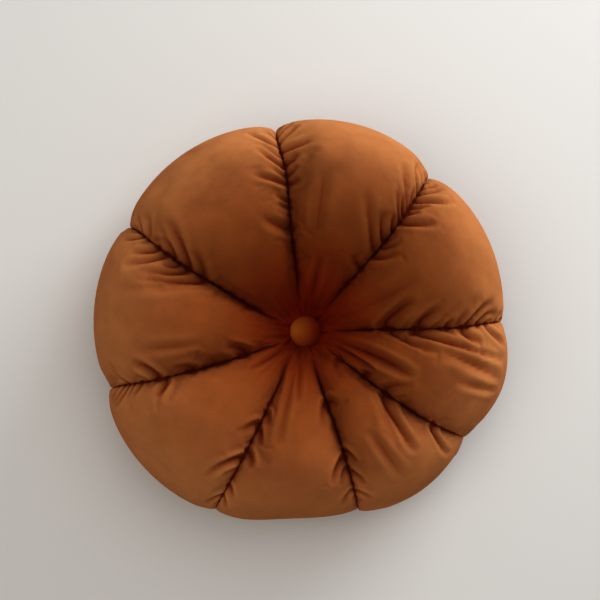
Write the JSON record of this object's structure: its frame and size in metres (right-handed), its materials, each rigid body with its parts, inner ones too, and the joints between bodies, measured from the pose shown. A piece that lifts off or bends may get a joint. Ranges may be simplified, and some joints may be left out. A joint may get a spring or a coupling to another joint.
{
  "type": "pumpkin cushion",
  "caption": "Round filled velvet cushion with puffed lobes between gathered radial seams, drawn in at the middle by a covered button; it rests flat on its back.",
  "frame": {"origin": "on the floor under the middle of the cushion's outline, as it lies on its back", "axes": "+Z out of the cushion's face, through its thickness; +Y towards the side that is uppermost when it stands against a backrest; +X to the right seen from the face"},
  "size_m": [0.4614, 0.448, 0.1674],
  "materials": {
    "velvet": "rust-orange short-pile velvet with a soft sheen"
  },
  "bodies": {
    "root": {"cushion": "velvet", "button": "velvet"}
  },
  "joints": []
}
